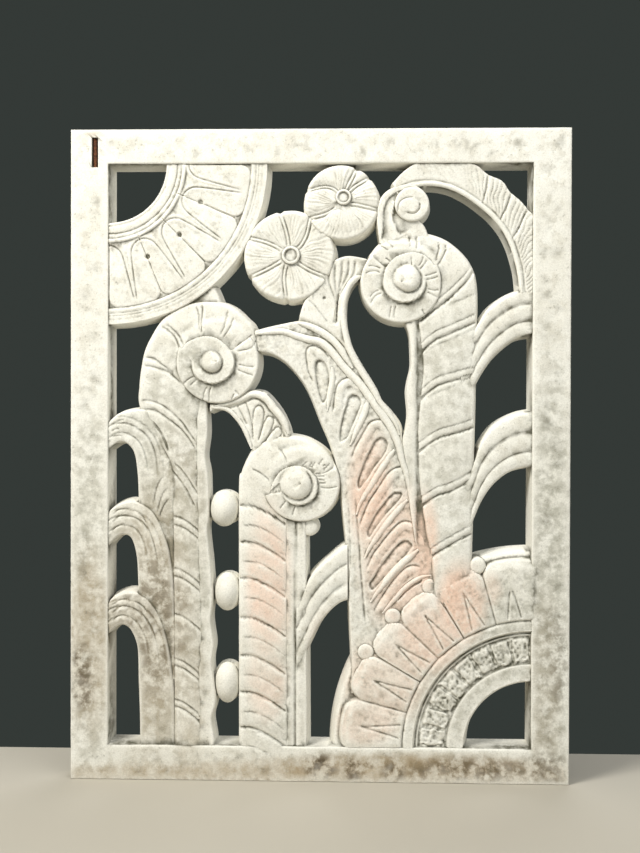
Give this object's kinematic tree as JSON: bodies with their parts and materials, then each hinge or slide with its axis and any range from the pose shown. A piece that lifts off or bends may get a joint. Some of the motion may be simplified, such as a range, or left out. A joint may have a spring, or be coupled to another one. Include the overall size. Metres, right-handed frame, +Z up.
{
  "type": "pierced cast concrete panel",
  "caption": "Pierced cast concrete panel: a square-edged frame round a relief of fern scrolls, fans, flowers and leaves, with a rusty bar end showing in one corner.",
  "frame": {"origin": "middle of the underside of the casting's bounding box, half way between its back and its highest boss", "axes": "+Z up along the panel's height, +X to the viewer's right, -Y out of the carved front, +Y out of the flat back"},
  "size_m": [0.75, 0.066, 0.98],
  "materials": {
    "weathered_concrete": "matt pale cement with a worn limewash, grey and pink staining and a rough crust low on the left",
    "rusty_steel": "dark brown rust"
  },
  "bodies": {
    "root": {"concrete_panel": "weathered_concrete", "exposed_bar": "rusty_steel"}
  },
  "joints": []
}
